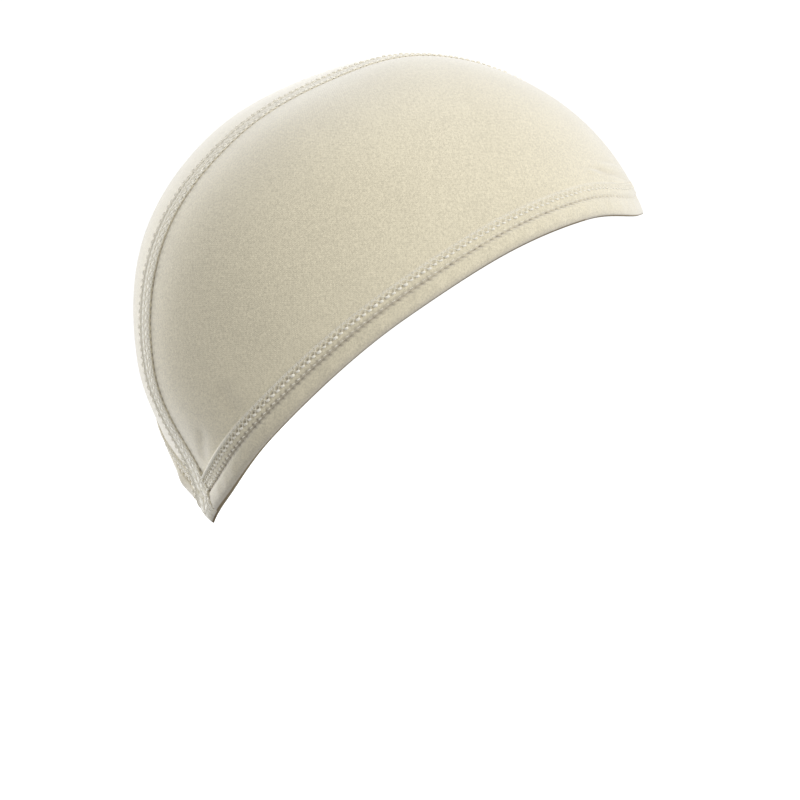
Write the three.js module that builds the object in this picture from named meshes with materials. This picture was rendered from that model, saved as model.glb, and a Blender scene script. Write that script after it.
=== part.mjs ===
// Wig cap: a close-fitting cap of stretch jersey in its worn shape, two halves joined by a flat
// centre seam, each half with a turned-up, stitched hem that drops to a point at the nape.
//
// Millimetres. The origin is the top of the head inside the crown, +Z is up, the wearer faces -Y
// and the wearer's right side is -X.

import * as THREE from "three";

const DEG = Math.PI / 180;

const HEAD_CENTRE_DEPTH = 89;      // of the head's centre below the origin
const CLOTH = 1.4;                 // jersey, as felt on the head
const CUT_GAP = 0.3;               // between neighbouring pieces
const SEAM_HALF_WIDTH = 4.25;      // centre line to the edge of the opened seam
const HEM_WIDTH = 12.5;
const NAPE_POINT_HALF_ANGLE = 52;  // between the centre seam and the hem, degrees

const PANEL_ROWS = 44;             // grid divisions along the hem
const PANEL_COLUMNS = 15;          // and from the seam down to the hem
const HEM_ROWS = 48;
const SEAM_ROWS = 36;              // between the two hems
const SEAM_OVER_HEM = 0.6;         // share of the hem's extra height that shows in the seam over it

// Distance from the head's centre to the inner face of the cloth, in millimetres, by tilt from
// the vertical in degrees. The fullness squares the back: 2 is an ellipse.
const HEAD_FORM = [
  { tilt: 0, front: 89, side: 89, back: 89, fullness: 2.0 },
  { tilt: 25, front: 89, side: 87, back: 88.5, fullness: 2.1 },
  { tilt: 50, front: 90.5, side: 81.5, back: 95, fullness: 2.25 },
  { tilt: 75, front: 92, side: 75.5, back: 103.5, fullness: 2.1 },
  { tilt: 100, front: 92.5, side: 74, back: 105.5, fullness: 2.0 },
  { tilt: 125, front: 92.5, side: 72.5, back: 103.5, fullness: 2.6 },
  { tilt: 150, front: 91, side: 69, back: 125, fullness: 3.2 },
];

// Lower edge of the cap: tilt by azimuth from the front, degrees.
const EDGE_LINE = [
  { azimuth: 0, tilt: 72 },
  { azimuth: 30, tilt: 69 },
  { azimuth: 60, tilt: 65 },
  { azimuth: 90, tilt: 71 },
  { azimuth: 120, tilt: 88 },
  { azimuth: 150, tilt: 113 },
  { azimuth: 165, tilt: 125 },
  { azimuth: 180, tilt: 133 },
];

// Section through the hem: height up from the edge and the lift of its two faces off the head.
// The turned edge is a soft roll; the needle rows pull the cloth down at 7 and near 12 mm.
const HEM_SECTION = [
  { up: 0, outer: 1.0, inner: 0.4 },
  { up: 0.6, outer: 1.9, inner: 0 },
  { up: 2.0, outer: 2.6, inner: 0 },
  { up: 4.2, outer: 2.7, inner: 0 },
  { up: 6.2, outer: 2.3, inner: 0 },
  { up: 7.1, outer: 1.6, inner: 0 },
  { up: 8.0, outer: 2.0, inner: 0 },
  { up: 11.4, outer: 1.9, inner: 0 },
  { up: HEM_WIDTH, outer: 1.5, inner: 0 },
];

// Section across the centre seam: two flat ribs beside the join, stitched down near each edge.
const SEAM_SECTION = [
  { across: 0, outer: 1.7 },
  { across: 0.7, outer: 2.1 },
  { across: 2.3, outer: 2.2 },
  { across: 3.4, outer: 1.7 },
  { across: SEAM_HALF_WIDTH, outer: 1.4 },
];

/** Smooth curve through the rows of a table: Catmull-Rom, level at its first row if asked. */
function through(rows, key, value, x, levelStart) {
  const last = rows.length - 1;
  let i = 0;
  while (i < last - 1 && x >= rows[i + 1][key]) i++;
  const slope = (k) => {
    if (k === 0 && levelStart) return 0;
    const a = rows[Math.max(k - 1, 0)];
    const b = rows[Math.min(k + 1, last)];
    return (b[value] - a[value]) / (b[key] - a[key]);
  };
  const span = rows[i + 1][key] - rows[i][key];
  const u = (x - rows[i][key]) / span;
  const v = 1 - u;
  return (
    v * v * (1 + 2 * u) * rows[i][value] + u * u * (3 - 2 * u) * rows[i + 1][value] +
    u * v * span * (v * slope(i) - u * slope(i + 1))
  );
}

const CENTRE = new THREE.Vector3(0, 0, -HEAD_CENTRE_DEPTH);

/** Point of the head's surface in a direction from its centre. */
function onHead(direction) {
  const { x, y, z } = direction;
  const round = Math.hypot(x, y);
  const tilt = Math.atan2(round, z) / DEG;
  const along = round > 1e-9 ? -y / round : 1;
  const aside = round > 1e-9 ? Math.abs(x) / round : 0;
  const reach = (column) => through(HEAD_FORM, "tilt", column, tilt, true);
  const power = along < 0 ? reach("fullness") : 2;
  const ahead = reach(along < 0 ? "back" : "front");
  const sum = (Math.abs(along) / ahead) ** power + (aside / reach("side")) ** power;
  return direction.clone().multiplyScalar(sum ** (-1 / power)).add(CENTRE);
}

/** Outward normal of the head's surface in that direction. */
function normalAt(direction) {
  const step = 1e-4;
  const helper = Math.abs(direction.x) < 0.7 ? new THREE.Vector3(1, 0, 0) : new THREE.Vector3(0, 0, 1);
  const e1 = new THREE.Vector3().crossVectors(direction, helper).normalize();
  const e2 = new THREE.Vector3().crossVectors(direction, e1);
  const beside = (e, s) => onHead(direction.clone().addScaledVector(e, s * step).normalize());
  const d1 = beside(e1, 1).sub(beside(e1, -1));
  const d2 = beside(e2, 1).sub(beside(e2, -1));
  return d1.cross(d2).normalize();
}

/** Point lifted off the head along the surface's normal. */
const lifted = (direction, lift) => onHead(direction).addScaledVector(normalAt(direction), lift);

/** Direction from the head's centre to a point. */
const towards = (point) => point.clone().sub(CENTRE).normalize();

/** Right-hand direction at an azimuth from the front and a tilt from the vertical, degrees. */
function directionAt(azimuth, tilt) {
  const [a, t] = [azimuth * DEG, tilt * DEG];
  return new THREE.Vector3(-Math.sin(t) * Math.sin(a), -Math.sin(t) * Math.cos(a), Math.cos(t));
}

const edgeDirection = (azimuth) =>
  directionAt(azimuth, through(EDGE_LINE, "azimuth", "tilt", azimuth, true));

/** Direction to the point that lies a distance up from the cap's right-hand edge. */
function upFromEdge(azimuth, up) {
  const foot = onHead(edgeDirection(azimuth));
  const nudge = 0.4;
  const a = Math.min(Math.max(azimuth, nudge), 180 - nudge);
  const run = onHead(edgeDirection(a + nudge)).sub(onHead(edgeDirection(a - nudge)));
  const rise = run.cross(normalAt(edgeDirection(azimuth))).normalize();
  return towards(foot.addScaledVector(rise, up));
}

/** Value in [low, high] where a rising function is zero. */
function root(f, low, high) {
  for (let k = 0; k < 40; k++) {
    const middle = (low + high) / 2;
    if (f(middle) < 0) low = middle;
    else high = middle;
  }
  return (low + high) / 2;
}

/** Front and nape azimuths where the line a distance up from the edge meets a plane beside the seam. */
function trimmed(up, aside) {
  const past = (azimuth) => -onHead(upFromEdge(azimuth, up)).x - aside;
  return [root(past, 0, 90), root((azimuth) => -past(azimuth), 90, 180)];
}

/** Direction at an angle round the crown from straight ahead, radians, and a distance to the right. */
function besideSeam(round, aside) {
  let direction;
  let reach = HEAD_CENTRE_DEPTH;
  for (let k = 0; k < 6; k++) {
    const s = aside / reach;
    const c = Math.sqrt(1 - s * s);
    direction = new THREE.Vector3(-s, -c * Math.cos(round), c * Math.sin(round));
    reach = onHead(direction).distanceTo(CENTRE);
  }
  return direction;
}

/** Angle of a direction round the crown from straight ahead, radians. */
const roundCrown = (direction) => {
  const angle = Math.atan2(direction.z, -direction.y);
  return angle < -Math.PI / 2 ? angle + 2 * Math.PI : angle;
};

/** Closed solid between an outer and an inner grid of points, welded where points coincide. */
function solidBetween(outer, inner) {
  const positions = [];
  const indices = [];
  const known = new Map();
  const vertex = (p) => {
    const key = [p.x, p.y, p.z].map((c) => Math.round(c * 1e4)).join();
    if (!known.has(key)) {
      known.set(key, positions.length / 3);
      positions.push(p.x, p.y, p.z);
    }
    return known.get(key);
  };
  const triangle = (a, b, c) => {
    if (a !== b && b !== c && c !== a) indices.push(a, b, c);
  };
  const quad = (...corners) => {
    const [a, b, c, d] = corners.map(vertex);
    triangle(a, b, c);
    triangle(a, c, d);
  };
  const m = outer.length - 1;
  const n = outer[0].length - 1;
  for (let i = 0; i < m; i++) {
    for (let j = 0; j < n; j++) {
      quad(outer[i][j], outer[i][j + 1], outer[i + 1][j + 1], outer[i + 1][j]);
      quad(inner[i][j], inner[i + 1][j], inner[i + 1][j + 1], inner[i][j + 1]);
    }
    quad(outer[i][0], outer[i + 1][0], inner[i + 1][0], inner[i][0]);
    quad(outer[i][n], inner[i][n], inner[i + 1][n], outer[i + 1][n]);
  }
  for (let j = 0; j < n; j++) {
    quad(outer[0][j], inner[0][j], inner[0][j + 1], outer[0][j + 1]);
    quad(outer[m][j], outer[m][j + 1], inner[m][j + 1], inner[m][j]);
  }
  const geometry = new THREE.BufferGeometry();
  geometry.setAttribute("position", new THREE.Float32BufferAttribute(positions, 3));
  geometry.setIndex(indices);
  geometry.computeVertexNormals();
  return geometry;
}

/** The same grid on the other side of the head, wound so that its faces still look outwards. */
const mirrored = (grid) =>
  grid.map((row) => row.map((p) => new THREE.Vector3(-p.x, p.y, p.z)).reverse());

const evenly = (count, low, high) =>
  Array.from({ length: count + 1 }, (_, k) => low + ((high - low) * k) / count);

/** Right-hand hem: rows along the edge, columns up its section. */
function hemGrids() {
  const aside = SEAM_HALF_WIDTH + CUT_GAP;
  const ends = HEM_SECTION.map(({ up }) => trimmed(up, aside));
  const grid = (face) =>
    evenly(HEM_ROWS, 0, 1).map((s) =>
      HEM_SECTION.map((section, j) => {
        const azimuth = ends[j][0] + s * (ends[j][1] - ends[j][0]);
        return lifted(upFromEdge(azimuth, section.up), section[face]);
      }));
  return [grid("outer"), grid("inner")];
}

/** Right-hand panel: rows run from the seam down to the hem, closer where either edge turns fast. */
function panelGrids() {
  const aside = SEAM_HALF_WIDTH + CUT_GAP;
  const up = HEM_WIDTH + CUT_GAP;
  const [start, end] = trimmed(up, aside);
  const samples = evenly(10 * PANEL_ROWS, start, end).map((azimuth) => {
    const low = upFromEdge(azimuth, up);
    return { low, top: besideSeam(roundCrown(low), aside), run: 0 };
  });
  for (let k = 1; k < samples.length; k++) {
    const [a, b] = [samples[k - 1], samples[k]];
    b.run = a.run + onHead(a.low).distanceTo(onHead(b.low)) + onHead(a.top).distanceTo(onHead(b.top));
  }
  const total = samples[samples.length - 1].run;
  const rows = evenly(PANEL_ROWS, 0, total).map((run) => samples.find((s) => s.run >= run - 1e-9));
  rows[0].top = rows[0].low;
  rows[PANEL_ROWS].top = rows[PANEL_ROWS].low;
  const grid = (lift) =>
    rows.map(({ low, top }) =>
      evenly(PANEL_COLUMNS, 0, 1).map((s) => {
        const angle = low.angleTo(top);
        if (angle < 1e-6) return lifted(low, lift);
        const arc = low.clone().multiplyScalar(Math.sin((1 - s) * angle));
        return lifted(arc.addScaledVector(top, Math.sin(s * angle)).normalize(), lift);
      }));
  return [grid(CLOTH), grid(0)];
}

/** Centre seam: rows from the front edge over the crown to the nape point, columns across. */
function seamGrids() {
  const half = SEAM_SECTION.slice(1);
  const columns = [...half.map((c) => ({ ...c, across: -c.across })).reverse(), ...SEAM_SECTION];
  const ends = columns.map(({ across }) => {
    const [front, nape] = trimmed(0, Math.abs(across));
    return [roundCrown(edgeDirection(front)), roundCrown(edgeDirection(nape))];
  });
  const napeStretch = 1 / Math.sin(NAPE_POINT_HALF_ANGLE * DEG);
  const reachNape = onHead(edgeDirection(180)).distanceTo(CENTRE);
  const reachFront = onHead(edgeDirection(0)).distanceTo(CENTRE);
  const hemLift = ({ outer }) => SEAM_OVER_HEM * Math.max(outer - CLOTH, 0);
  const rows = [
    ...HEM_SECTION.map((h) => ({ end: 0, inset: h.up / reachFront, hem: h })),
    ...evenly(SEAM_ROWS, 0, 1).slice(1, -1).map((s) => ({ s })),
    ...HEM_SECTION.map((h) => ({ end: 1, inset: (h.up * napeStretch) / reachNape, hem: h })).reverse(),
  ];
  const insets = [HEM_WIDTH / reachFront, (HEM_WIDTH * napeStretch) / reachNape];
  const grid = (face) =>
    rows.map((row) =>
      columns.map((column, j) => {
        const [front, nape] = ends[j];
        const [low, high] = [front + insets[0], nape - insets[1]];
        const round = row.hem
          ? (row.end ? nape - row.inset : front + row.inset)
          : low + row.s * (high - low);
        const extra = row.hem ? hemLift(row.hem) : 0;
        const edge = row.hem && row.hem.up === 0;
        const outer = edge ? row.hem.outer : column.outer + extra;
        const inner = edge ? row.hem.inner : 0;
        return lifted(besideSeam(round, -column.across), face === "outer" ? outer : inner);
      }));
  return [grid("outer"), grid("inner")];
}

const jersey = (name, colour) =>
  new THREE.MeshStandardMaterial({ name, color: colour, roughness: 0.92, metalness: 0 });

function piece(name, grids, material) {
  const mesh = new THREE.Mesh(solidBetween(...grids), material);
  mesh.name = name;
  return mesh;
}

const panel = panelGrids();
const hem = hemGrids();

const cap = new THREE.Group();
cap.name = "wig_cap";
cap.add(
  piece("right_panel", panel, jersey("jersey_right", "#d8d0ba")),
  piece("left_panel", panel.map(mirrored), jersey("jersey_left", "#d8d0ba")),
  piece("centre_seam", seamGrids(), jersey("jersey_seam", "#dcd5c1")),
  piece("right_hem", hem, jersey("jersey_hem_right", "#d4cbb4")),
  piece("left_hem", hem.map(mirrored), jersey("jersey_hem_left", "#d4cbb4")),
);

export default cap;
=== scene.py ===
"""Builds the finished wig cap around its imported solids: jersey panels, a flat centre seam, turned and
stitched hems, and the threads that hold them. Sizes in the tables are millimetres, meshes are metres.
"""

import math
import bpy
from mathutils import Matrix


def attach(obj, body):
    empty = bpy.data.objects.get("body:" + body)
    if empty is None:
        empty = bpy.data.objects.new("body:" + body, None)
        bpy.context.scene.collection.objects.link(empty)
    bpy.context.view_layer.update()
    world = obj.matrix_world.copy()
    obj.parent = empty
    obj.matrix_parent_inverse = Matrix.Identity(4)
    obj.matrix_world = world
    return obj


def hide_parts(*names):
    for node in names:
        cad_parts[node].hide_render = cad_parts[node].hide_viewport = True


bl_info = {
    "name": "Wig Cap",
    "version": (1, 0, 0),
    "blender": (4, 5, 0),
    "location": "View3D > Sidebar > Wig Cap",
    "description": "A wig cap of stretch jersey in its worn shape, with seams, hems and stitches",
    "category": "Add Mesh",
}

import bpy
import numpy as np
from bpy.props import FloatProperty, FloatVectorProperty, PointerProperty
from bpy.types import Operator, Panel, PropertyGroup
from mathutils import Vector

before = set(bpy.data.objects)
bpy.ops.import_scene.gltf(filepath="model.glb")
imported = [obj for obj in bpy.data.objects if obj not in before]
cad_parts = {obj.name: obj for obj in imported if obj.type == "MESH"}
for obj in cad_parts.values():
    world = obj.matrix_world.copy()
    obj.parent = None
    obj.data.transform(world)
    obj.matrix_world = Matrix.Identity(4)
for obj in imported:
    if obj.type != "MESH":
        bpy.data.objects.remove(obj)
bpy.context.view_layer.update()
MM = 0.001

HEAD_CENTRE = np.array([0.0, 0.0, -89.0])
MEAN_REACH = 90.0  # from the head's centre to the cloth, to turn angles into distances
BACK_REACH = 95.0  # the same along the back of the seam
NAPE_REACH = 125.0  # the same at the nape
NAPE_HALF_ANGLE = 52  # between the centre seam and the hem's edge, degrees
NAPE_RISE = 0.8  # height above the hem's edge for each step up along the seam
NAPE_POINT = 1.8  # how far the seam's end hangs below the hem's edge
NAPE_WIDENING = 0.6  # how much wider the seam is at the nape, as a share of its width
NAPE_SPREAD = 42  # length of the stretch over which the seam widens
NAPE_LEAN = 3.2  # how far the point is pulled to the wearer's left
HEM_UNDER_SEAM = 0.9  # how far the hem's ends lie under the seam
PANEL_UNDER_SEAM = 0.8  # how far the panel's border lies under the seam
PANEL_UNDER_HEM = 1.0  # how far the panel's border lies under the hem

# Painted shade and pale cover, kept at each point of the cloth: above 0 a painted shade that darkens it
# where shade falls in grooves, folds, creases, needle holes and along its lower edge; below 0 a pale
# colour where loose threads cover it, partly the thread's colour and partly a painted highlight.
DARKEST_PAINTED_SHADE = 1.3  # the painted shade at which the colour is fully the painted shade colour
SHEENLESS_PAINTED_SHADE = 0.75  # the painted shade past which a face takes the copy of the jersey without sheen, which keeps it dark

# Distance from the head's centre to the inner face of the cloth, by tilt from the vertical in
# degrees. The fullness squares the back of each section: 2 is an ellipse.
HEAD_FORM = {
    "tilt": (0, 25, 50, 75, 100, 125, 150),
    "front": (89, 89, 90.5, 92, 92.5, 92.5, 91),
    "side": (89, 87, 81.5, 75.5, 74, 72.5, 69),
    "back": (89, 88.5, 95, 103.5, 105.5, 103.5, 125),
    "fullness": (2, 2.1, 2.25, 2.1, 2, 2.6, 3.2),
}

# Lower edge of the cap: tilt by azimuth from the front, degrees.
EDGE_LINE = {
    "azimuth": (0, 30, 60, 90, 120, 150, 165, 180),
    "tilt": (70.6, 68.3, 65, 71, 88, 113, 125, 133),
}

# Lift of the hem's outer face off the head by the height up from the edge: a roll, the groove
# that its needle row pulls in, a flat stitched band, and the step down to the panel.
HEM_SECTION = {
    "up": (0, 0.25, 0.8, 2.0, 3.8, 5.4, 6.3, 6.8, 7.1, 7.5, 8.2, 10.0, 12.2, 12.7, 13.2),
    "outer": (0.8, 1.5, 2.1, 2.65, 2.8, 2.6, 2.25, 1.75, 1.4, 1.65, 1.9, 1.85, 1.9, 1.6, 1.36),
}

# Lift of the seam's outer face by the distance from the join: shallow furrows lie along the join
# and between the rows of stitches.
SEAM_SECTION = {
    "across": (0, 0.35, 0.9, 1.5, 1.9, 2.3, 3.0, 3.7, 4.15, 4.4),
    "outer": (1.6, 1.82, 1.98, 1.92, 1.78, 1.9, 1.98, 1.88, 1.72, 1.1),
}

# Small folds in the right panel above the front hem and dips near the nape: each is a ridge or a
# dip from one point to another, azimuth and tilt in degrees, with its half width and height.
PANEL_FOLDS = {
    "from_azimuth": (52, 45, 66, 168, 160),
    "from_tilt": (53.8, 52.9, 57.8, 112.5, 103),
    "to_azimuth": (25, 26, 40, 171, 158),
    "to_tilt": (60.6, 57.5, 59.8, 117.5, 106.5),
    "half_width": (0.8, 1.0, 1.2, 2.6, 3.0),
    "height": (0.9, 0.4, 0.25, -0.4, -0.35),
    "valley": (0.8, 0.5, 0.3, 0, 0),
}


def sizes():
    return bpy.context.scene.wig_cap_sizes


def colours():
    return bpy.context.scene.wig_cap_colours


def smooth_through(table, key, column, x, level_start=False):
    """Catmull-Rom curve through a table's rows: each row's slope is that of the line between its
    neighbours, and a cubic joins two rows with their values and slopes."""
    xs, ys = np.array(table[key], float), np.array(table[column], float)
    slopes = np.empty_like(ys)
    slopes[1:-1] = (ys[2:] - ys[:-2]) / (xs[2:] - xs[:-2])
    slopes[0] = 0 if level_start else (ys[1] - ys[0]) / (xs[1] - xs[0])
    slopes[-1] = (ys[-1] - ys[-2]) / (xs[-1] - xs[-2])
    i = np.clip(np.searchsorted(xs, x, side="right") - 1, 0, len(xs) - 2)
    span = xs[i + 1] - xs[i]
    u = (x - xs[i]) / span
    v = 1 - u
    ends = v * v * (1 + 2 * u) * ys[i] + u * u * (3 - 2 * u) * ys[i + 1]
    return ends + u * v * span * (v * slopes[i] - u * slopes[i + 1])


def unit(vectors):
    return vectors / np.linalg.norm(vectors, axis=-1, keepdims=True)


def on_head(direction):
    """Surface of the head form: in each cone of equal tilt the reach r solves
    (cos a / ahead)^n + (sin a / side)^n = r^-n, with a the azimuth and n the fullness behind."""
    x, y, z = np.moveaxis(direction, -1, 0)
    level = np.hypot(x, y)
    tilt = np.degrees(np.arctan2(level, z))
    along = np.where(level > 1e-9, -y / np.maximum(level, 1e-9), 1.0)
    aside = np.where(level > 1e-9, np.abs(x) / np.maximum(level, 1e-9), 0.0)
    reach = {c: smooth_through(HEAD_FORM, "tilt", c, tilt, True) for c in HEAD_FORM if c != "tilt"}
    power = np.where(along < 0, reach["fullness"], 2.0)
    ahead = np.where(along < 0, reach["back"], reach["front"])
    total = (np.abs(along) / ahead) ** power + (aside / reach["side"]) ** power
    return HEAD_CENTRE + direction * (total ** (-1 / power))[..., None]


def normal_at(direction):
    """Outward normal: the cross product of the surface's steps along two square directions."""
    helper = np.where(np.abs(direction[..., :1]) < 0.7, [1.0, 0.0, 0.0], [0.0, 0.0, 1.0])
    e1 = unit(np.cross(direction, helper))
    e2 = np.cross(direction, e1)
    step = 1e-4
    d1 = on_head(unit(direction + step * e1)) - on_head(unit(direction - step * e1))
    d2 = on_head(unit(direction + step * e2)) - on_head(unit(direction - step * e2))
    return unit(np.cross(d1, d2))


def lifted(direction, lift):
    return on_head(direction) + normal_at(direction) * np.asarray(lift)[..., None]


def towards(point):
    return unit(point - HEAD_CENTRE)


def direction_at(azimuth, tilt):
    """Unit direction on the wearer's right at an azimuth from the front and a tilt, degrees."""
    a, t = np.radians(azimuth), np.radians(tilt)
    return np.stack([-np.sin(t) * np.sin(a), -np.sin(t) * np.cos(a), np.cos(t)], -1)


def edge_direction(azimuth):
    return direction_at(azimuth, smooth_through(EDGE_LINE, "azimuth", "tilt", azimuth, True))


def up_from_edge(azimuth, up):
    """Direction to the point a distance up from the right-hand edge: the edge's tangent crossed
    with the surface's normal points up the cloth."""
    azimuth, up = np.broadcast_arrays(np.asarray(azimuth, float), np.asarray(up, float))
    nudge = 0.4
    a = np.clip(azimuth, nudge, 180 - nudge)
    run = on_head(edge_direction(a + nudge)) - on_head(edge_direction(a - nudge))
    rise = unit(np.cross(run, normal_at(edge_direction(azimuth))))
    return towards(on_head(edge_direction(azimuth)) + rise * up[..., None])


def seam_widening(from_nape):
    """The seam is flattened out wider over the last stretch before the nape."""
    return 1 + NAPE_WIDENING * 0.5 * (1 + np.cos(math.pi * np.clip(from_nape / NAPE_SPREAD, 0, 1)))


def above_edge(from_tip):
    """Height above the hem's edge at a distance along the seam from its nape end."""
    return from_tip * math.sin(math.radians(NAPE_HALF_ANGLE))


def halving(rising, low, high, like):
    """Where a rising function of an array crosses zero, by halving the interval."""
    low, high = np.full_like(like, low), np.full_like(like, high)
    for _ in range(40):
        middle = (low + high) / 2
        below = rising(middle) < 0
        low, high = np.where(below, middle, low), np.where(below, high, middle)
    return (low + high) / 2


def trimmed(up, aside, at_nape=None):
    """Front and nape azimuths where a line above the edge meets planes beside the seam."""
    up, aside = np.broadcast_arrays(np.asarray(up, float), np.asarray(aside, float))
    reach = aside if at_nape is None else at_nape
    past = lambda azimuth, limit: -on_head(up_from_edge(azimuth, up))[..., 0] - limit
    return halving(lambda a: past(a, aside), 0, 90, up), halving(lambda a: -past(a, reach), 90, 180, up)


def beside_seam(crown, aside):
    """Direction at an angle round the crown from straight ahead, and a distance to the right."""
    crown, aside = np.broadcast_arrays(np.asarray(crown, float), np.asarray(aside, float))
    reach = np.full_like(crown, MEAN_REACH)
    for _ in range(6):
        s = aside / reach
        c = np.sqrt(1 - s * s)
        direction = np.stack([-s, -c * np.cos(crown), c * np.sin(crown)], -1)
        reach = np.linalg.norm(on_head(direction) - HEAD_CENTRE, axis=-1)
    return direction


def round_crown(direction):
    angle = np.arctan2(direction[..., 2], -direction[..., 1])
    return np.where(angle < -math.pi / 2, angle + 2 * math.pi, angle)


def lengths_along(points):
    steps = np.linalg.norm(np.diff(points, axis=0), axis=-1)
    return np.concatenate([np.zeros_like(steps[:1]), np.cumsum(steps, axis=0)])


def knit_uv(points):
    """Flat pattern of each half, in millimetres: distance from the side of the head by angle,
    laid out round it, so that the knit's columns run up the cloth."""
    d = towards(points)
    from_side = np.arccos(np.clip(np.abs(d[..., 0]), 0, 1)) * MEAN_REACH
    level = np.maximum(np.hypot(d[..., 1], d[..., 2]), 1e-9)
    return np.stack([from_side * d[..., 1] / level, from_side * d[..., 2] / level], -1)


def put_mesh(name, points, quads, painted_shade_and_cover=None, crease=55):
    """Closed mesh from points in millimetres and quads, with doubles welded and faces turned outwards by
    the sign of its volume. A quad with two equal corners becomes a triangle. Each point keeps its
    painted shade, and faces deep in painted shade all over take the second material, a copy without
    sheen that keeps the painted shade dark."""
    keys, first, back = np.unique(
        np.round(points * 1e4).astype(np.int64), axis=0, return_index=True, return_inverse=True
    )
    points, quads = points[first], back.reshape(-1)[quads]
    a, b, c, d = np.moveaxis(points[quads], 1, 0)
    if np.einsum("ij,ij", a, np.cross(b, c) + np.cross(c, d)) < 0:
        quads = quads[:, ::-1]
    same = quads == np.roll(quads, -1, axis=1)
    whole = quads[same.sum(1) == 0]
    pinched = quads[same.sum(1) == 1]
    triangles = pinched[~same[same.sum(1) == 1]].reshape(-1, 3)
    mesh = bpy.data.meshes.new(name)
    mesh.from_pydata((points * MM).tolist(), [], whole.tolist() + triangles.tolist())
    mesh.polygons.foreach_set("use_smooth", np.ones(len(mesh.polygons), bool))
    mesh.set_sharp_from_angle(angle=math.radians(crease))
    corners = np.empty(len(mesh.loops), np.int32)
    mesh.loops.foreach_get("vertex_index", corners)
    uv = knit_uv(points)[corners] * MM
    mesh.uv_layers.new(name="knit").data.foreach_set("uv", uv.astype(np.float32).ravel())
    painted_shade_layer = mesh.attributes.new("painted_shade_and_cover", "FLOAT", "POINT")
    shade = np.zeros(len(points)) if painted_shade_and_cover is None else painted_shade_and_cover[first]
    painted_shade_layer.data.foreach_set("value", shade.astype(np.float32))
    starts = np.empty(len(mesh.polygons), np.int32)
    mesh.polygons.foreach_get("loop_start", starts)
    deep = np.minimum.reduceat(shade[corners], starts) > SHEENLESS_PAINTED_SHADE
    mesh.polygons.foreach_set("material_index", deep.astype(np.int32))
    mesh.update()
    piece = bpy.data.objects.new(name, mesh)
    bpy.context.scene.collection.objects.link(piece)
    return piece


def grid_quads(rows, columns):
    at = np.arange(rows * columns).reshape(rows, columns)
    return np.stack([at[:-1, :-1], at[:-1, 1:], at[1:, 1:], at[1:, :-1]], -1).reshape(-1, 4)


def wall_piece(name, outer, inner, painted_shade_and_cover, inner_painted_shade=None, mirror=False):
    """Closed wall between an outer and an inner grid, joined round its four borders."""
    rows, columns = outer.shape[:2]
    half = rows * columns
    at = np.arange(half).reshape(rows, columns)
    rim = np.concatenate([at[:-1, 0], at[-1, :-1], at[:0:-1, -1], at[0, :0:-1]])
    after = np.roll(rim, -1)
    face = grid_quads(rows, columns)
    border = np.stack([rim, rim + half, after + half, after], -1)
    quads = np.concatenate([face, face[:, ::-1] + half, border])
    points = np.concatenate([outer.reshape(-1, 3), inner.reshape(-1, 3)])
    inner_painted_shade = np.zeros(outer.shape[:2]) if inner_painted_shade is None else inner_painted_shade
    shade = np.concatenate([painted_shade_and_cover.ravel(), inner_painted_shade.ravel()])
    return put_mesh(name, points * ([-1, 1, 1] if mirror else [1, 1, 1]), quads, shade)


def bell(distance, reach):
    return np.exp(-((distance / reach) ** 2))


def near_holes(along, across, pitch, reach):
    """From 1 at each needle hole to 0: peaks half a pitch from the stitches, along a row by the
    cosine of its pitch, fading across the row as a bell curve."""
    return (0.5 - 0.5 * np.cos(2 * math.pi * along / pitch)) ** 2 * bell(across, reach)


def lattice_holes(along, climb, pitch):
    """From 1 in the middle of each diamond between the slanted threads to 0 under a thread: the
    product of two combs, one leaning each way. The climb is in pitches from the band's foot."""
    leaning = lambda way: 0.5 - 0.5 * np.cos(2 * math.pi * (along / pitch + way * climb))
    return leaning(1) * leaning(-1)


def uneven(along, *waves):
    """Sum of sines along a line, each given by its length and height, so nothing repeats soon."""
    return sum(height * np.sin(2 * math.pi * along / length + 3 * length) for length, height in waves)


def panel_folds(points):
    """Lift of the small folds and dips: a bell across each, swelling and fading along it as a sine, with
    a valley on the upper side of a ridge. The second result is a painted shade down in the valleys and
    in the dips."""
    lift, painted_shade_and_cover = np.zeros(points.shape[:-1]), np.zeros(points.shape[:-1])
    rows = zip(*(PANEL_FOLDS[c] for c in PANEL_FOLDS))
    for from_azimuth, from_tilt, to_azimuth, to_tilt, half_width, height, valley in rows:
        a = on_head(direction_at(from_azimuth, from_tilt))
        b = on_head(direction_at(to_azimuth, to_tilt))
        s = np.clip(((points - a) @ (b - a)) / ((b - a) @ (b - a)), 0, 1)
        off = points - (a + s[..., None] * (b - a))
        away = np.linalg.norm(off, axis=-1) * np.where(off[..., 2] < 0, 1, -1)
        beside = valley * bell(away + 1.9 * half_width, 0.8 * half_width)
        swell = np.sin(math.pi * (0.08 + 0.92 * s)) if valley else 1
        lift += height * swell * (bell(away, half_width) - beside)
        painted_shade_and_cover += swell * (0.35 * height * beside + np.clip(-0.4 * height, 0, 1) * bell(away, half_width))
    return lift, painted_shade_and_cover


def fading(along, start, end):
    """From 0 before the start to 1 past the end, by a cubic with level ends."""
    u = np.clip((along - start) / (end - start), 0, 1)
    return u * u * (3 - 2 * u)


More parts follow.
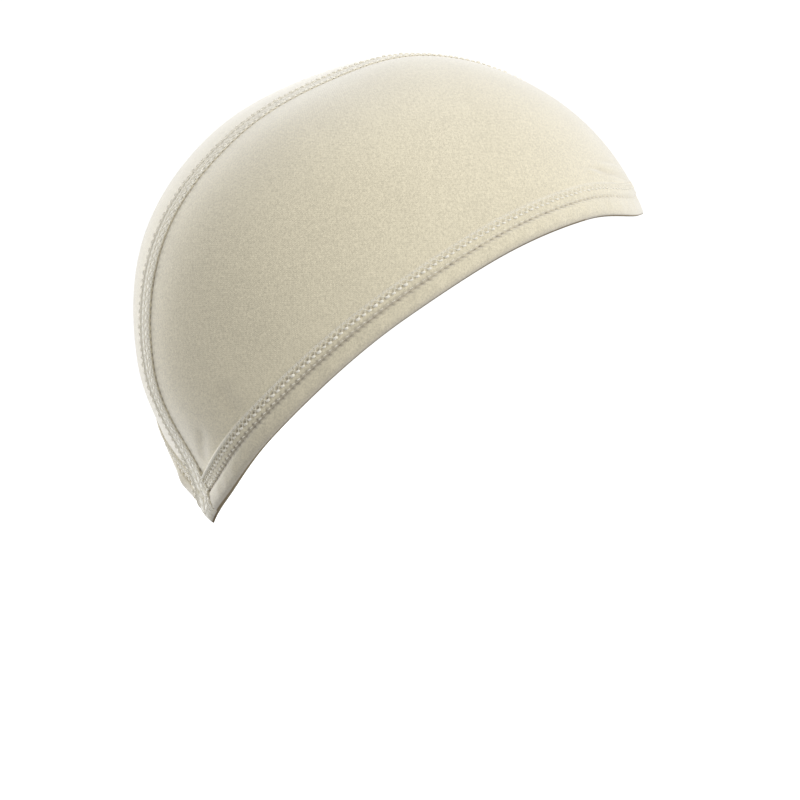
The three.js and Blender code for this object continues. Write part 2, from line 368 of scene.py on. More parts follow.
def hem_layout():
    """Places on the right hem: a function from a fraction of the way from the front seam to the
    nape and a height up from the edge to a direction, and the hem's length. Three lines at even
    heights are spaced evenly, and a parabola through their azimuths gives what lies between."""
    top = HEM_SECTION["up"][-1]
    half = sizes().seam_half_width / MM
    ups = np.array([0, top / 2, top])
    wide = half * seam_widening(ups / NAPE_RISE)
    front, nape = trimmed(ups, half - HEM_UNDER_SEAM, wide - HEM_UNDER_SEAM)
    share = np.linspace(0, 1, 601)
    coarse = front + (nape - front) * share[:, None]
    run = lengths_along(on_head(up_from_edge(coarse, ups)))
    lines = [np.interp(share * r[-1], r, c) for r, c in zip(run.T, coarse.T)]

    def place(fraction, up):
        low, middle, high = (np.interp(fraction, share, line) for line in lines)
        t = up / top
        azimuth = low * (1 - t) * (1 - 2 * t) + middle * 4 * t * (1 - t) + high * t * (2 * t - 1)
        return up_from_edge(azimuth, up)

    return place, run[-1, 1]


def hem_lift(up, along):
    """The lift of the hem's outer face: its section, pressed flatter towards the front, its roll
    the most."""
    lift = smooth_through(HEM_SECTION, "up", "outer", up) + 0 * along
    flatter = (1 - fading(along, 25, 125)) * (0.86 - 0.42 * fading(up, 6.3, 8.5))
    return lift - flatter * np.clip(lift - 0.9, 0, None)


def hem_surface(rows=820, columns=54, bulge=0.0):
    """The hem as a section carried along the edge. Its lift follows the section table, swells a little
    unevenly along the roll, and dips between the threads that cross it: deeper towards the nape, where
    the cloth is slack, and hardly at all over the stretched front. From the groove a slanting dent runs
    down the roll at every stitch, and behind the ear the groove is softer, with a painted shade that
    widens it into a band. A bulge pushes the roll out beside the nape by its height. A painted shade
    darkens the groove, the dents, the holes between the threads and by the stitches, the low roll and
    the bulge, and a thin line along the lower edge as a painted contact shadow; the inner face is darker
    near the edge by painted shade. Near the nape it is paler just above the top row, where the braid
    covers it: partly the thread's colour, partly a painted highlight."""
    s = sizes()
    place, length = hem_layout()
    pitch, low, high = s.stitch_pitch / MM, s.hem_lower_row / MM, s.hem_upper_row / MM
    up = HEM_SECTION["up"][-1] * np.linspace(0, 1, columns)
    fraction = np.linspace(0, 1, rows)[:, None]
    along = fraction * length
    direction = place(fraction, up)
    slack = fading(along, 0.45 * length, 0.95 * length)
    behind_ear = fading(along, 0.46 * length, 0.6 * length)
    behind_ear *= 1 - fading(along, 0.88 * length, 0.96 * length)
    stretched = 1 - fading(along, 0.1 * length, 0.4 * length)
    outer = hem_lift(up, along)
    outer += bell(up - 3.6, 2.4) * uneven(along, (46, 0.10), (19, 0.07), (7.7, 0.05))
    pushed_out = bulge * bell(length - along - 11, 5) * bell(up - 3, 2.5)
    outer += pushed_out - 0.5 * bell(np.minimum(along, length - along), 0.9)
    above = up - s.hem_groove / MM
    deep = (1 - 0.5 * stretched) * (1 + uneven(along, (11, 0.15), (4.3, 0.15)))
    groove = bell(above, 0.36) * deep * (0.75 + 0.35 * np.cos(2 * math.pi * along / pitch))
    groove *= 1 - 0.6 * behind_ear
    slanted = np.clip(np.cos(2 * math.pi * (along / pitch - 0.5 * above)), 0, 1) ** 1.5
    dents = bell(above + 0.5, 0.45) * slanted * deep * (1 + uneven(along, (7.3, 0.25)))
    band = 1 / (1 + np.exp(-6 * (up - low + 0.2))) / (1 + np.exp(6 * (up - high - 0.2)))
    holes = lattice_holes(along, (up - low) / (high - low), pitch) * band
    holes *= 0.2 + 0.8 * slack**2 - 0.15 * stretched
    needle_hole_shade = near_holes(along, up - low - 0.1, pitch, 0.42) * (0.1 + 0.9 * slack)
    shown = slack * (1 - 0.7 * behind_ear)
    needle_hole_shade += near_holes(along + pitch / 2, above - 0.75, pitch, 0.42) * shown
    under_beads = near_holes(along + pitch / 2, above - 1.15, pitch, 0.42) * (0.15 + 0.85 * slack)
    beside_beads = near_holes(along + pitch / 2, up - low - 0.75, pitch, 0.4) * (0.75 - 0.5 * stretched)
    beside_beads *= 1 + 0.5 * behind_ear
    top_holes = near_holes(along, up - high + 0.75, pitch, 0.42) * (0.12 + 0.88 * slack**2)
    specks = (0.5 * under_beads + 0.55 * beside_beads + 0.4 * top_holes) * (1 + 0.7 * slack)
    # Painted contact shadow: a thin dark line along the lower edge
    edge = bell(up - 0.1, 0.65 - 0.35 * stretched - 0.2 * slack)
    # Painted shade low on the roll, deeper over the slack nape
    roll = (1 - 0.8 * stretched + 0.9 * slack) * bell(up - 1.0, 1.3) + 0.7 * slack * bell(up - 3.5, 3)
    outer -= 0.3 * groove + 0.22 * dents + 0.15 * holes + 0.3 * specks
    # Painted shade in the groove, the dents, the holes and beside the stitches, and a wide band of it
    # along the groove behind the ear
    painted_shade_and_cover = 0.7 * groove + 0.5 * dents + (0.12 + 0.3 * slack) * holes + 0.9 * specks + 0.6 * needle_hole_shade
    painted_shade_and_cover += 0.45 * behind_ear * bell(above - 0.45, 0.9) + 0.25 * (roll + pushed_out)
    painted_shade_and_cover += (0.95 - 0.3 * slack) * edge
    # Paler just above the top row near the nape, where the braid covers it: partly the thread's colour,
    # partly a painted highlight
    painted_shade_and_cover -= fading(along, 0.8 * length, 0.93 * length) * bell(up - high - 0.1, 0.4)
    to_end = np.minimum(along, length - along)
    inner = 0.3 * bell(up, 0.7) + 0.35 * bell(to_end, 1.1)
    # The last result is the inner face's painted shade, darkest at the lower edge
    return lifted(direction, outer), lifted(direction, inner), painted_shade_and_cover, bell(up, 1.2) + 0 * along


def panel_surface(rows=220, columns=120, folds=False):
    """One half of the cap: great-circle arcs from a line under the hem's top to a line under the
    seam, both at the same angle round the crown, spaced evenly along the two lines together. Both
    borders sink a little under what is sewn over them. The folds are the small ones of the right
    half, added to the lift."""
    s = sizes()
    half = s.seam_half_width / MM
    up = HEM_SECTION["up"][-1] - PANEL_UNDER_HEM
    from_nape = up / NAPE_RISE
    wide = half * seam_widening(from_nape)
    front, nape = trimmed(up, half - PANEL_UNDER_SEAM, wide - PANEL_UNDER_SEAM)
    fine = np.linspace(front, nape, 1500)

    def borders(azimuth):
        low = up_from_edge(azimuth, up)
        crown = round_crown(low)
        wide = half * seam_widening(from_nape + BACK_REACH * (crown[-1] - crown))
        aside = wide - PANEL_UNDER_SEAM
        return low, beside_seam(crown, aside), aside

    low, top, aside = borders(fine)
    run = lengths_along(on_head(low)) + lengths_along(on_head(top))
    low, top, aside = borders(np.interp(np.linspace(0, run[-1], rows), run, fine))
    top[[0, -1]] = low[[0, -1]]
    angle = np.arccos(np.clip((low * top).sum(-1), -1, 1))[:, None, None]
    from_low = 0.5 - 0.5 * np.cos(math.pi * np.linspace(0, 1, columns))
    t = (0.55 * from_low + 0.45 * np.linspace(0, 1, columns))[None, :, None]
    safe = np.maximum(np.sin(angle), 1e-9)
    arc = (np.sin((1 - t) * angle) * low[:, None] + np.sin(t * angle) * top[:, None]) / safe
    direction = unit(np.where(angle < 1e-6, low[:, None], arc))
    point = on_head(direction)
    inward = (angle * np.minimum(t, 1 - t))[..., 0] * MEAN_REACH
    outer = s.cloth / MM - 0.4 * bell(inward, 0.9)
    if folds:
        lift, fold_painted_shade = panel_folds(point)
        outer += lift
    to_seam = np.abs(point[..., 0]) - aside[:, None] - 0.9
    behind = fading(round_crown(direction), math.radians(120), math.radians(165))
    # Painted shade in the crease beside the seam behind, and in the folds' valleys and dips
    painted_shade_and_cover = 0.35 * behind * bell(to_seam, 0.3) + (fold_painted_shade if folds else 0)
    return lifted(direction, outer), lifted(direction, 0.3 * bell(inward, 0.9)), painted_shade_and_cover


def seam_layout():
    """Places on the seam: a function from a fraction of the way from the front edge to the nape
    and a distance across to a direction, and the seam's length. The nape end is wider and runs on
    to a small point."""
    half = SEAM_SECTION["across"][-1]
    samples = np.linspace(0, half, 12)
    front, nape = trimmed(0.0, samples, samples * seam_widening(0.0))
    front, nape = round_crown(edge_direction(front)), round_crown(edge_direction(nape))
    nape = nape + NAPE_POINT / NAPE_REACH * (1 - samples / half)
    middle = beside_seam(front[0] + (nape[0] - front[0]) * np.linspace(0, 1, 1500), 0.0)
    length = lengths_along(on_head(middle))[-1]

    def place(fraction, across):
        start, end = (np.interp(np.abs(across), samples, ends) for ends in (front, nape))
        from_nape = (1 - fraction) * length
        lean = NAPE_LEAN * (1 - np.abs(across) / half) * fading(-from_nape, -9, 0)
        aside = -across * seam_widening(from_nape) - lean
        return beside_seam(start + (end - start) * fraction, aside)

    return place, length


def seam_lift(across, along, length):
    """The lift of the seam's outer face: its section, pressed almost flush with the panels at the
    front and over the crown, raised over the hem behind and thinning to its point."""
    lift = smooth_through(SEAM_SECTION, "across", "outer", np.abs(across)) + 0 * along
    flush = 0.8 - 0.8 * fading(along, 0.56 * length, 0.76 * length)
    lift = lift - flush * np.clip(lift - 1.45, 0, None)
    hem_top = HEM_SECTION["up"][-1]
    to_nape = above_edge(length - along)
    hem = smooth_through(HEM_SECTION, "up", "outer", np.clip(to_nape, 0, hem_top))
    raised = lift + np.where(to_nape < hem_top, 0.75 * (hem - sizes().cloth / MM), 0)
    return raised * (0.45 + 0.55 * fading(to_nape, -0.6, 2.4))


def seam_surface(rows=900, columns=41):
    """The opened seam as a section carried from the front edge over the crown to the nape, with dips
    between the threads that cross it, and paler behind, where loose threads cover it: partly the
    thread's colour, partly a painted highlight. A painted shade darkens its furrows, its needle holes
    and the holes between the threads, its two ends, and its edges behind in a broken line; its edges lie
    almost flush over the crown."""
    s = sizes()
    place, length = seam_layout()
    half = SEAM_SECTION["across"][-1]
    across = half * np.linspace(-1, 1, columns)
    fraction = np.linspace(0, 1, rows)[:, None]
    along = fraction * length
    direction = place(fraction, across)
    pitch, row = s.stitch_pitch / MM, s.seam_row / MM
    climb = 1.5 * (across + row) / (2 * row)
    holes = lattice_holes(along, climb, pitch) / (1 + np.exp(6 * (np.abs(across) - row - 0.1)))
    beads = near_holes(along, np.abs(across) - row, pitch, 0.45)
    behind = fading(along, 0.6 * length, 0.8 * length)
    outer = seam_lift(across, along, length) - (0.03 + 0.05 * behind) * holes - 0.22 * beads
    broken = 0.6 + 0.6 * np.cos(2 * math.pi * along / pitch) + uneven(along, (31, 0.15), (13, 0.1))
    furrows = bell(across, 0.3) + 0.7 * bell(np.abs(across) - 1.9, 0.25)
    edge = np.minimum(along, above_edge(length - along))
    over_crown = fading(along, 0.42 * length, 0.54 * length) * (1 - behind)
    # Painted shade in the furrows, the holes, by the stitches, in a broken line along the edges behind
    # and at both ends
    painted_shade_and_cover = 0.45 * behind * furrows + (0.02 + 0.13 * over_crown) * holes
    painted_shade_and_cover += (1.25 - 0.85 * behind) * beads
    painted_shade_and_cover += broken * 0.95 * behind * bell(half - np.abs(across), 0.25) + 1.1 * bell(edge, 0.8)
    open_to_view = 1 - fading(np.abs(across), row - 0.1, row + 0.4)
    # Pale cover behind, between the rows: partly the thread's colour, partly a painted highlight
    painted_shade_and_cover -= behind * open_to_view * np.clip(1 - 0.7 * furrows, 0, 1) * (1 - bell(edge, 1.3))
    inner = 0.3 * bell(edge, 0.7) + 0 * across
    # The last result is the inner face's painted shade at both ends
    return lifted(direction, outer), lifted(direction, inner), painted_shade_and_cover, bell(edge, 1.2) + 0 * across


def tube(place, fraction, offset, lift, thick, sides=6):
    """A round thread on the cloth: a ring of points carried along a path, square to it, with its
    thickness given at each point and nothing at the two ends. The last axis of the inputs runs
    along the thread, so many stitches can be made at once."""
    direction = place(fraction, offset)
    path, normal = lifted(direction, lift), normal_at(direction)
    tangent = unit(np.gradient(path, axis=-2))
    normal = unit(normal - (normal * tangent).sum(-1, keepdims=True) * tangent)
    side = np.cross(tangent, normal)
    turn = 2 * math.pi * np.arange(sides + 1)[:, None] / sides
    ring = np.cos(turn) * side[..., None, :] + np.sin(turn) * normal[..., None, :]
    thick = np.broadcast_to(thick, path.shape[:-1]).copy()
    thick[..., [0, -1]] = 0
    return path[..., None, :] + thick[..., None, None] / 2 * ring


def threads_piece(name, tubes, mirror=False):
    """Every tube of a stack of rings, end to end and side by side, as one mesh."""
    points, quads, start = [], [], 0
    for grid in tubes:
        stack = grid.reshape(-1, *grid.shape[-3:])
        count, rings, sides = stack.shape[:3]
        face = grid_quads(rings, sides)
        steps = start + np.arange(count)[:, None, None] * rings * sides
        quads.append((face + steps).reshape(-1, 4))
        points.append(stack.reshape(-1, 3))
        start += count * rings * sides
    points = np.concatenate(points) * ([-1, 1, 1] if mirror else [1, 1, 1])
    return put_mesh(name, points, np.concatenate(quads), crease=180)


def zigzags(place, length, low, high, lift, pitch, thick, count=3, swell=lambda share: 1, step=0.3):
    """Threads, a pitch apart, that climb from the lower row to the upper in half as many pitches
    as there are threads and come back. A rising strand lies over the falling ones it meets."""
    along = np.arange(0.4 * pitch, length - 0.4 * pitch, step)
    thick = thick * swell(along / length)
    turn = 2 * math.pi * (along / (count * pitch) + np.arange(count)[:, None] / count)
    swing = -np.arcsin(0.97 * np.cos(turn)) / math.asin(0.97)
    offset = (low + high) / 2 + (high - low) / 2 * swing
    rise = lift(offset, along) + thick * (0.05 + 0.25 * np.sin(turn))
    return tube(place, along / length + 0 * turn, offset, rise, thick)


def braid(place, length, row, lift, pitch, thick, swing=0.3, swell=lambda share: 1, step=0.3):
    """Two strands that wind round each other along a row, one full turn to a pitch."""
    along = np.arange(0.4 * pitch, length - 0.4 * pitch, step)
    thick = thick * swell(along / length)
    turn = 2 * math.pi * (along / pitch + np.arange(2)[:, None] / 2)
    offset = row + swing * np.cos(turn)
    rise = lift(offset, along) + thick * (0.35 + 0.3 * np.sin(turn))
    return tube(place, along / length + 0 * turn, offset, rise, thick)


def stitches(place, length, row, lift, pitch, thick, long=1.6, slant=0.0, start=0.0,
             swell=lambda share: 1):
    """Short stitches, one to a pitch, each a low arch that dives into the cloth at both ends. No
    two lie quite alike. The start is where the first lies, in pitches."""
    at = np.arange(pitch * (0.5 + start), length - 0.5 * pitch, pitch)[:, None]
    thick = thick * swell(at / length) * (1 + uneven(at, (6.1, 0.14), (9.7, 0.12)))
    row = row + uneven(at, (5.3, 0.08), (13.1, 0.08))
    long = long * (1 + uneven(at, (7.7, 0.1)))
    s = np.linspace(-1, 1, 7)
    along = at + s * long / 2
    offset = row + s * slant + 0 * along
    rise = lift(offset, along) + thick * (0.35 - 0.9 * s**4)
    return tube(place, along / length, offset, rise, thick * np.sqrt(1 - 0.9 * s**6))


class WigCapSizes(PropertyGroup):
    cloth: FloatProperty(
        name="Cloth", description="Thickness of the jersey on the head",
        default=0.0014, min=0.0005, max=0.003, precision=5, unit="LENGTH", subtype="DISTANCE")
    hem_groove: FloatProperty(
        name="Hem groove", description="Height of the groove above the roll",
        default=0.0071, precision=5, unit="LENGTH", subtype="DISTANCE")
    hem_lower_row: FloatProperty(
        name="Hem lower row", description="Height of the row of stitches above the groove",
        default=0.0100, precision=5, unit="LENGTH", subtype="DISTANCE")
    hem_upper_row: FloatProperty(
        name="Hem upper row", description="Height of the row that holds the turned edge",
        default=0.0122, precision=5, unit="LENGTH", subtype="DISTANCE")
    seam_half_width: FloatProperty(
        name="Seam half width", description="From the join to the edge of the opened seam",
        default=0.00425, precision=5, unit="LENGTH", subtype="DISTANCE")
    seam_row: FloatProperty(
        name="Seam needle row", description="From the join to each stitched row",
        default=0.00385, precision=5, unit="LENGTH", subtype="DISTANCE")
    stitch_pitch: FloatProperty(
        name="Stitch pitch", description="From one needle hole to the next",
        default=0.0025, precision=5, unit="LENGTH", subtype="DISTANCE")
    thread: FloatProperty(
        name="Thread", description="Thickness of the sewing thread",
        default=0.00042, precision=5, unit="LENGTH", subtype="DISTANCE")


def from_hex(text):
    """Linear colour from an sRGB hex value: a straight foot below 0.04045, a 2.4 power above."""
    c = np.array([int(text[k : k + 2], 16) / 255 for k in (1, 3, 5)])
    return tuple(np.where(c <= 0.04045, c / 12.92, ((c + 0.055) / 1.055) ** 2.4))


class WigCapColours(PropertyGroup):
    jersey: FloatVectorProperty(
        name="Jersey", description="Colour of the cloth",
        default=from_hex("#dbd1b3"), min=0, max=1, size=3, subtype="COLOR")
    # Painted shade colour: the cloth is mixed towards it in grooves, holes, creases and along the lower
    # edge, where shade falls.
    jersey_painted_shade: FloatVectorProperty(
        name="Jersey in its tucks", description="Colour of the cloth down in grooves and holes",
        default=from_hex("#57401f"), min=0, max=1, size=3, subtype="COLOR")
    # Pale cover colour where loose threads cover the cloth: partly the thread's own colour, partly a
    # painted highlight.
    pale_cover_and_highlight: FloatVectorProperty(
        name="Jersey under threads", description="Colour of the cloth where loose threads cover it",
        default=from_hex("#fdf8e6"), min=0, max=1, size=3, subtype="COLOR")
    thread: FloatVectorProperty(
        name="Thread", description="Colour of the sewing thread",
        default=from_hex("#f8f3e4"), min=0, max=1, size=3, subtype="COLOR")
    floor: FloatVectorProperty(
        name="Floor", description="Colour of the studio floor",
        default=from_hex("#b6b6b6"), min=0, max=1, size=3, subtype="COLOR")


def add_node(tree, kind, settings=None, **links):
    """Adds a node, sets its properties and unlinked sockets, and links the others. A link's name
    is the socket's, with _ for a space, or in and a number for a place among the inputs."""
    node = tree.nodes.new(kind)
    for key, value in (settings or {}).items():
        if hasattr(node, key):
            setattr(node, key, value)
        else:
            node.inputs[key].default_value = value
    for key, source in links.items():
        name = key.replace("_", " ")
        numbered = key[:2] == "in" and key[2:].isdigit()
        socket = node.inputs[int(key[2:]) if numbered else name]
        if isinstance(source, bpy.types.NodeSocket):
            tree.links.new(source, socket)
        else:
            socket.default_value = source
    return node


def new_material(name):
    found = bpy.data.materials.get(name)
    if found:
        return found, None
    material = bpy.data.materials.new(name)
    material.use_nodes = True
    material.node_tree.nodes.clear()
    return material, material.node_tree


def cotton_jersey(name="cotton_jersey_knitted", fuzz_weight=1.0):
    """Weft-knitted cotton and elastane jersey, combed and unbrushed: a matt, slightly fuzzy face
    of fine columns of V-shaped loops, with soft cloudy unevenness in its shade. Its fuzz gives it
    a pale veil at a low angle."""
    material, tree = new_material(name)
    if tree is None:
        return material
    wale, course = 0.95 * MM, 0.8 * MM  # true loops are 0.6 by 0.5 mm, drawn coarser to show
    uv = add_node(tree, "ShaderNodeUVMap", {"uv_map": "knit"})
    place = add_node(tree, "ShaderNodeSeparateXYZ", in0=uv.outputs[0])
    columns = add_node(tree, "ShaderNodeMath", {"operation": "DIVIDE"}, in0=place.outputs[0], in1=wale)
    phase = add_node(tree, "ShaderNodeMath", {"operation": "FRACT"}, in0=columns.outputs[0])
    centred = add_node(tree, "ShaderNodeMath", {"operation": "SUBTRACT"},
                       in0=phase.outputs[0], in1=0.5)
    arm = add_node(tree, "ShaderNodeMath", {"operation": "ABSOLUTE"}, in0=centred.outputs[0])
    rows = add_node(tree, "ShaderNodeMath", {"operation": "DIVIDE"}, in0=place.outputs[1], in1=course)
    slanted = add_node(tree, "ShaderNodeMath", {"operation": "ADD"},
                       in0=rows.outputs[0], in1=arm.outputs[0])
    turn = add_node(tree, "ShaderNodeMath", {"operation": "MULTIPLY"},
                    in0=slanted.outputs[0], in1=2 * math.pi)
    loops = add_node(tree, "ShaderNodeMath", {"operation": "SINE"}, in0=turn.outputs[0])
    swell = add_node(tree, "ShaderNodeMath", {"operation": "MULTIPLY_ADD"},
                     in0=arm.outputs[0], in1=-1.6, in2=loops.outputs[0])
    where = add_node(tree, "ShaderNodeTexCoord")
    fuzz = add_node(tree, "ShaderNodeTexNoise", {"Scale": 1100.0, "Detail": 2.0, "Roughness": 0.6},
                    Vector=where.outputs["Object"])
    grain = add_node(tree, "ShaderNodeTexNoise", {"Scale": 2100.0, "Detail": 1.0, "Roughness": 0.5},
                     Vector=where.outputs["Object"])
    clouds = add_node(tree, "ShaderNodeTexNoise", {"Scale": 60.0, "Detail": 2.0, "Roughness": 0.5},
                      Vector=where.outputs["Object"])
    height = add_node(tree, "ShaderNodeMath", {"operation": "MULTIPLY_ADD"},
                      in0=fuzz.outputs[0], in1=2.5, in2=swell.outputs[0])
    bump = add_node(tree, "ShaderNodeBump", {"Strength": 0.2, "Distance": 0.1 * MM},
                    Height=height.outputs[0])
    base = colours().jersey
    lighter = [min(c * 1.2, 1) for c in base] + [1]
    darker = [c * d for c, d in zip(base, (0.83, 0.825, 0.81))] + [1]
    cloudy = add_node(tree, "ShaderNodeMath", {"operation": "MULTIPLY_ADD"},
                      in0=clouds.outputs[0], in1=0.2, in2=fuzz.outputs[0])
    mix = add_node(tree, "ShaderNodeMath", {"operation": "MULTIPLY_ADD"},
                   in0=grain.outputs[0], in1=1.0, in2=cloudy.outputs[0])
    spread = add_node(tree, "ShaderNodeMapRange", {"From Min": 0.8, "From Max": 1.4},
                      Value=mix.outputs[0])
    shade = add_node(tree, "ShaderNodeMix", {"data_type": "RGBA"}, in0=spread.outputs[0],
                     in6=darker, in7=lighter)
    # The painted shade attribute: below 0 the colour is mixed towards the pale cover, partly thread
    # colour and partly painted highlight; above 0 towards the painted shade colour.
    painted_shade_and_cover = add_node(tree, "ShaderNodeAttribute", {"attribute_name": "painted_shade_and_cover"})
    pale_cover_and_highlight = add_node(tree, "ShaderNodeMapRange", {"From Max": -1.0}, Value=painted_shade_and_cover.outputs["Fac"])
    paler = add_node(tree, "ShaderNodeMix", {"data_type": "RGBA"}, in0=pale_cover_and_highlight.outputs[0],
                     in6=shade.outputs[2], in7=list(colours().pale_cover_and_highlight) + [1])
    low = add_node(tree, "ShaderNodeMapRange", {"From Max": DARKEST_PAINTED_SHADE}, Value=painted_shade_and_cover.outputs["Fac"])
    colour = add_node(tree, "ShaderNodeMix", {"data_type": "RGBA"}, in0=low.outputs[0],
                      in6=paler.outputs[2], in7=list(colours().jersey_painted_shade) + [1])
    cloth = add_node(
        tree, "ShaderNodeBsdfPrincipled",
        {"Roughness": 0.9, "Specular IOR Level": 0.5,
         "Sheen Weight": fuzz_weight, "Sheen Roughness": 0.7},
        Base_Color=colour.outputs[2], Normal=bump.outputs[0])
    add_node(tree, "ShaderNodeOutputMaterial", Surface=cloth.outputs[0])
    return material


def jersey_without_sheen_for_painted_shade():
    """A copy of the same jersey without sheen, for faces deep in painted shade, so that the painted
    shade stays dark with no veil."""
    return cotton_jersey("cotton_jersey_painted_shade_no_sheen", 0.0)


def spun_polyester():
    """Spun polyester sewing thread, three plies twisted: a little brighter and smoother than the
    cloth, with a soft gleam and a fine slanting twist."""
    material, tree = new_material("polyester_thread_spun")
    if tree is None:
        return material
    where = add_node(tree, "ShaderNodeTexCoord")
    twist = add_node(tree, "ShaderNodeTexNoise", {"Scale": 2600.0, "Detail": 2.0},
                     Vector=where.outputs["Object"])
    bump = add_node(tree, "ShaderNodeBump", {"Strength": 0.3, "Distance": 0.05 * MM},
                    Height=twist.outputs[0])
    base = colours().thread
    mix = add_node(tree, "ShaderNodeMix", {"data_type": "RGBA"}, in0=twist.outputs[0],
                   in6=[c * 0.92 for c in base] + [1], in7=list(base) + [1])
    thread = add_node(
        tree, "ShaderNodeBsdfPrincipled",
        {"Roughness": 0.7, "Specular IOR Level": 0.4, "Sheen Weight": 0.9, "Sheen Roughness": 0.6},
        Base_Color=mix.outputs[2], Normal=bump.outputs[0])
    add_node(tree, "ShaderNodeOutputMaterial", Surface=thread.outputs[0])
    return material


def floor_paper():
    """Matt studio paper, pale grey under the cap, with a painted glow that brightens it to white on the
    side away from the camera and lights the cap from behind.
    """
    material, tree = new_material("studio_paper_matt")
    if tree is None:
        return material
    where = add_node(tree, "ShaderNodeTexCoord")
    out = add_node(tree, "ShaderNodeVectorMath", {"operation": "DOT_PRODUCT"},
                   in0=where.outputs["Object"], in1=(0.89, -0.45, 0.0))
    # Painted glow: emission rising away from the camera, white beyond the cap
    painted_glow = add_node(tree, "ShaderNodeMapRange",
                   {"interpolation_type": "SMOOTHSTEP", "From Min": 0.1, "From Max": 0.8,
                    "To Max": 0.74}, Value=out.outputs["Value"])
    paper = add_node(tree, "ShaderNodeBsdfPrincipled",
                     {"Base Color": list(colours().floor) + [1], "Roughness": 0.9,
                      "Specular IOR Level": 0.2, "Emission Color": (1, 1, 1, 1)},
                     Emission_Strength=painted_glow.outputs[0])
    add_node(tree, "ShaderNodeOutputMaterial", Surface=paper.outputs[0])
    return material


def dress(piece, slot, materials, *nodes):
    """Gives a piece its materials, lets it ride on the cap and stand for its solids. The slot is not
    used.
    """
    for material in materials:
        piece.data.materials.append(material)
    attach(piece, "root")
    if nodes:
        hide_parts(*nodes)
    return piece


class WIGCAP_OT_panels(Operator):
    """Make the two jersey panels"""

    bl_idname = "wigcap.panels"
    bl_label = "Jersey panels"

    def execute(self, context):
        right = wall_piece("right_panel_jersey", *panel_surface(folds=True))
        left = wall_piece("left_panel_jersey", *panel_surface(), mirror=True)
        dress(right, "jersey", [cotton_jersey()], "right_panel")
        dress(left, "jersey", [cotton_jersey()], "left_panel")
        return {"FINISHED"}


class WIGCAP_OT_seam(Operator):
    """Make the opened and stitched centre seam"""

    bl_idname = "wigcap.seam"
    bl_label = "Centre seam"

    def execute(self, context):
        s = sizes()
        seam = wall_piece("centre_seam_jersey", *seam_surface())
        dress(seam, "jersey_seam", [cotton_jersey(), jersey_without_sheen_for_painted_shade()], "centre_seam")
        place, length = seam_layout()
        pitch, row, thick = s.stitch_pitch / MM, s.seam_row / MM, s.thread / MM
        lift = lambda across, along: seam_lift(across, along, length)
        to_back = lambda share: 0.4 + 0.6 * fading(share, 0.45, 0.6)
        tubes = [zigzags(place, length, -row, row, lift, pitch, 0.6 * thick, swell=to_back)]
        for side in (-1, 1):
            at, lean = side * (row + 0.05), side * 0.15
            tubes.append(stitches(place, length, at, lift, pitch, 1.75 * thick, 1.8, lean))
            tubes.append(braid(place, length, side * 2.8, lift, pitch, 0.8 * thick, 0.18, to_back))
        dress(threads_piece("centre_seam_threads", tubes), "jersey_seam", [spun_polyester()])
        return {"FINISHED"}


class WIGCAP_OT_hems(Operator):
    """Make the two turned-up hems and the threads that hold them"""

    bl_idname = "wigcap.hems"
    bl_label = "Hems"

    def execute(self, context):
        s = sizes()
        place, length = hem_layout()
        pitch, thick = s.stitch_pitch / MM, s.thread / MM
        low, high = s.hem_lower_row / MM, s.hem_upper_row / MM
        groove = s.hem_groove / MM
        to_nape = lambda share: 0.3 + 0.2 * fading(share, 0.6, 0.8) + 0.7 * fading(share, 0.86, 0.97)
        from_front = lambda share: 0.5 + 0.2 * fading(share, 0.2, 0.4) + 0.4 * fading(share, 0.75, 0.95)
        beaded = lambda share: 0.5 + 0.25 * fading(share, 0.2, 0.4) + 0.35 * fading(share, 0.45, 0.6)
        tubes = [
            zigzags(place, length, low, high, hem_lift, pitch, 0.65 * thick, 2, from_front),
            braid(place, length, high, hem_lift, pitch, 1.2 * thick, 0.32, to_nape),
            stitches(place, length, low + 0.1, hem_lift, pitch, 1.9 * thick, 1.5, 0.15, 0.5, beaded),
            stitches(place, length, groove + 0.75, hem_lift, pitch, 1.5 * thick, 1.5, 0.1, 0.0, to_nape),
        ]
        for side in ("right", "left"):
            mirror = side == "left"
            hem = wall_piece(f"{side}_hem_jersey", *hem_surface(bulge=0.9 * mirror), mirror=mirror)
            dress(hem, "jersey_hem", [cotton_jersey(), jersey_without_sheen_for_painted_shade()], f"{side}_hem")
            dress(threads_piece(f"{side}_hem_threads", tubes, mirror), "jersey_hem", [spun_polyester()])
        return {"FINISHED"}


class WIGCAP_OT_cloth(Operator):
    """Gather the names of each side's hem pieces and, for the right, the seam's; nothing more is done
    with them
    """

    bl_idname = "wigcap.cloth"
    bl_label = "Cut sizes"

    def execute(self, context):
        for side in ("right", "left"):
            names = [f"{side}_hem_jersey", f"{side}_hem_threads"]
            if side == "right":
                names += ["centre_seam_jersey", "centre_seam_threads"]
        return {"FINISHED"}


CAMERA_YAW = 26.8  # towards the back from square on to the wearer's right, degrees
CAMERA_HEIGHT = 7.9  # above the horizon, degrees
CAMERA_DISTANCE = 1.4
CAMERA_TARGET = (0.0, 0.0059, -0.1245)
LENS = 172.1  # on a 36 mm sensor, a third of a millimetre of cap to a pixel


def turned(yaw, height):
    """Unit vector from the cap at a yaw to the back from its right, and a height, degrees."""
    y, h = math.radians(yaw), math.radians(height)
    return Vector((-math.cos(y) * math.cos(h), math.sin(y) * math.cos(h), math.sin(h)))


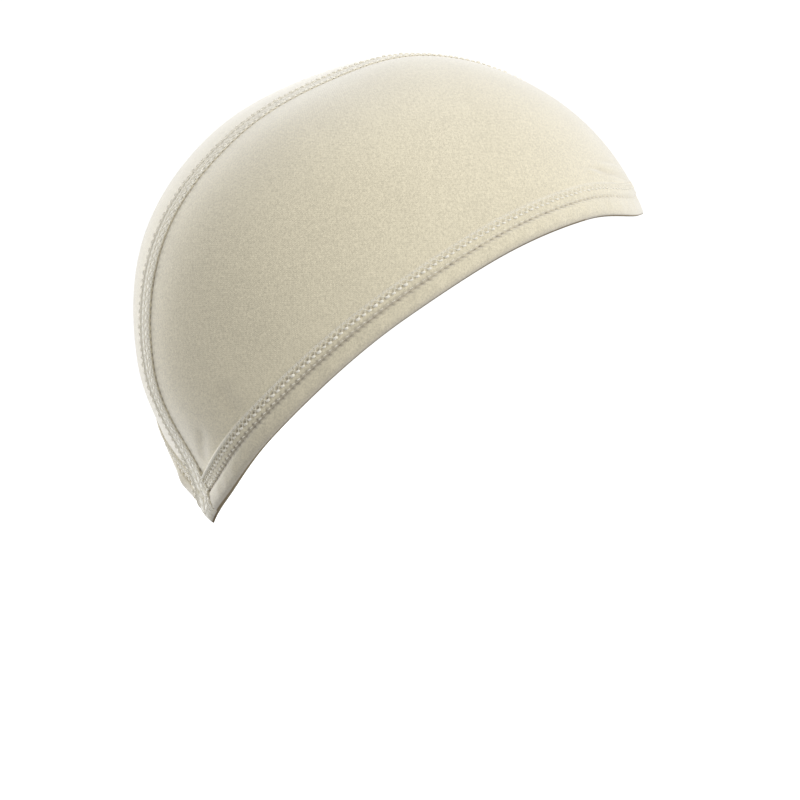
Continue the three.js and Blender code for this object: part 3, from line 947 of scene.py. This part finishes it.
def soft_light(name, yaw, height, distance, size, power, colour=(1, 1, 1)):
    light = bpy.data.lights.new(name, "AREA")
    light.shape, light.size, light.energy, light.color = "DISK", size, power, colour
    lamp = bpy.data.objects.new(name, light)
    back = turned(yaw, height)
    lamp.location = Vector(CAMERA_TARGET) + back * distance
    lamp.rotation_mode = "QUATERNION"
    lamp.rotation_quaternion = (-back).to_track_quat("-Z", "Y")
    lamp.visible_camera = False
    bpy.context.scene.collection.objects.link(lamp)


class WIGCAP_OT_stage(Operator):
    """Set the floor, the light and the camera"""

    bl_idname = "wigcap.stage"
    bl_label = "Studio"

    def execute(self, context):
        scene = context.scene
        reach, depth = 40.0, -0.42
        corners = [(x * reach, y * reach, depth) for x, y in ((-1, -1), (1, -1), (1, 1), (-1, 1))]
        mesh = bpy.data.meshes.new("studio_floor")
        mesh.from_pydata(corners, [], [(0, 1, 2, 3)])
        mesh.materials.append(floor_paper())
        floor = bpy.data.objects.new("studio_floor", mesh)
        scene.collection.objects.link(floor)

        world = bpy.data.worlds.new("studio_white")
        scene.world = world
        world.use_nodes = True
        tree = world.node_tree
        tree.nodes.clear()
        sky = add_node(tree, "ShaderNodeBackground", {"Color": (1, 1, 1, 1), "Strength": 0.69})
        add_node(tree, "ShaderNodeOutputWorld", Surface=sky.outputs[0])

        soft_light("key_front", -33, 30, 1.5, 1.1, 11.2)
        soft_light("rim_behind", 155, 4, 2.0, 0.9, 23)
        soft_light("rim_left", 208, 12, 2.0, 1.4, 6)
        soft_light("rim_front", 250, 12, 2.0, 1.4, 5)

        camera = bpy.data.cameras.new("camera")
        camera.lens, camera.sensor_width = LENS, 36.0
        camera.clip_start, camera.clip_end = 0.05, 200.0
        eye = bpy.data.objects.new("camera", camera)
        back = turned(CAMERA_YAW, CAMERA_HEIGHT)
        eye.location = Vector(CAMERA_TARGET) + back * CAMERA_DISTANCE
        eye.rotation_mode = "QUATERNION"
        eye.rotation_quaternion = (-back).to_track_quat("-Z", "Y")
        scene.collection.objects.link(eye)
        scene.camera = eye
        scene.view_settings.view_transform = "Standard"
        scene.view_settings.look = "None"
        return {"FINISHED"}


class WIGCAP_PT_sidebar(Panel):
    bl_label = "Wig Cap"
    bl_idname = "WIGCAP_PT_sidebar"
    bl_space_type = "VIEW_3D"
    bl_region_type = "UI"
    bl_category = "Wig Cap"

    def draw(self, context):
        for group in (context.scene.wig_cap_sizes, context.scene.wig_cap_colours):
            column = self.layout.column(align=True)
            for name in group.__annotations__:
                column.prop(group, name)
        for operator in OPERATORS:
            self.layout.operator(operator.bl_idname)


OPERATORS = (WIGCAP_OT_panels, WIGCAP_OT_seam, WIGCAP_OT_hems, WIGCAP_OT_cloth, WIGCAP_OT_stage)
CLASSES = (WigCapSizes, WigCapColours, *OPERATORS, WIGCAP_PT_sidebar)


def register():
    for c in CLASSES:
        bpy.utils.register_class(c)
    bpy.types.Scene.wig_cap_sizes = PointerProperty(type=WigCapSizes)
    bpy.types.Scene.wig_cap_colours = PointerProperty(type=WigCapColours)


def unregister():
    del bpy.types.Scene.wig_cap_colours
    del bpy.types.Scene.wig_cap_sizes
    for c in reversed(CLASSES):
        bpy.utils.unregister_class(c)


def main():
    register()
    bpy.ops.wigcap.panels()
    bpy.ops.wigcap.seam()
    bpy.ops.wigcap.hems()
    bpy.ops.wigcap.cloth()
    bpy.ops.wigcap.stage()


if __name__ == "__main__":
    main()
